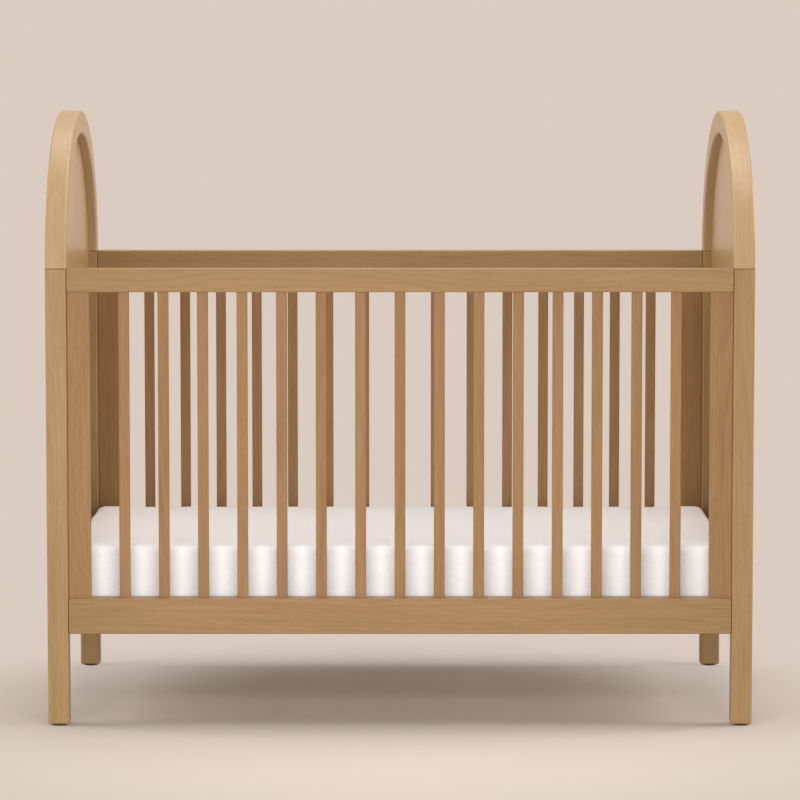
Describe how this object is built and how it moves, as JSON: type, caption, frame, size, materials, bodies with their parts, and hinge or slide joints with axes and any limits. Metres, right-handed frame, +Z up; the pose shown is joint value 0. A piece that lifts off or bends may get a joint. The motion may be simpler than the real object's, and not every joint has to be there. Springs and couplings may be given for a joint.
{
  "type": "baby crib",
  "caption": "Full-size baby crib with arched solid ends, fixed slatted sides, straight legs and a mattress on a slatted support that hangs at different heights.",
  "frame": {"origin": "on the floor under the middle of the crib", "axes": "+X along the crib from the left end to the right end, +Y across it from the front to the rear, +Z up"},
  "size_m": [1.38, 0.786, 1.1999],
  "materials": {
    "wood_ends": "satin lacquer",
    "wood_sides": "satin lacquer",
    "support_wood": "sanded, unfinished",
    "dowel_wood": "fluted, unfinished",
    "bracket_steel": "white powder coat",
    "zinc_steel": "zinc plated",
    "cap_plastic": "moulded, wood coloured",
    "insert_brass": "turned",
    "glide_nylon": "moulded",
    "mattress_cover": "woven"
  },
  "bodies": {
    "frame": {"front_left_post": "wood_ends", "front_right_post": "wood_ends", "rear_left_post": "wood_ends", "rear_right_post": "wood_ends", "left_arch": "wood_ends", "right_arch": "wood_ends", "left_end_panel": "wood_ends", "right_end_panel": "wood_ends", "left_end_rail": "wood_ends", "right_end_rail": "wood_ends", "front_top_rail": "wood_sides", "front_bottom_rail": "wood_sides", "rear_top_rail": "wood_sides", "rear_bottom_rail": "wood_sides", "front_left_stile": "wood_sides", "front_right_stile": "wood_sides", "rear_left_stile": "wood_sides", "rear_right_stile": "wood_sides", "front_slat_01": "wood_sides", "front_slat_02": "wood_sides", "front_slat_03": "wood_sides", "front_slat_04": "wood_sides", "front_slat_05": "wood_sides", "front_slat_06": "wood_sides", "front_slat_07": "wood_sides", "front_slat_08": "wood_sides", "front_slat_09": "wood_sides", "front_slat_10": "wood_sides", "front_slat_11": "wood_sides", "front_slat_12": "wood_sides", "front_slat_13": "wood_sides", "front_slat_14": "wood_sides", "front_slat_15": "wood_sides", "rear_slat_01": "wood_sides", "rear_slat_02": "wood_sides", "rear_slat_03": "wood_sides", "rear_slat_04": "wood_sides", "rear_slat_05": "wood_sides", "rear_slat_06": "wood_sides", "rear_slat_07": "wood_sides", "rear_slat_08": "wood_sides", "rear_slat_09": "wood_sides", "rear_slat_10": "wood_sides", "rear_slat_11": "wood_sides", "rear_slat_12": "wood_sides", "rear_slat_13": "wood_sides", "rear_slat_14": "wood_sides", "rear_slat_15": "wood_sides", "hanger_bolts": "zinc_steel", "height_inserts": "insert_brass", "insert_caps": "cap_plastic", "frame_bolts": "zinc_steel", "barrel_nuts": "zinc_steel", "wood_dowels": "dowel_wood", "leg_glides": "glide_nylon"},
    "support": {"support_bars": "support_wood", "support_slats": "support_wood", "support_brackets": "bracket_steel", "support_screws": "zinc_steel"},
    "mattress": {"mattress": "mattress_cover"}
  },
  "joints": [
    {"name": "support_height", "type": "slide", "parent": "frame", "child": "support", "axis": [0, 0, 1], "range_m": [0, 0.2]},
    {"name": "mattress_lift", "type": "slide", "parent": "support", "child": "mattress", "axis": [0, 0, 1], "range_m": [0, 0.39]}
  ]
}
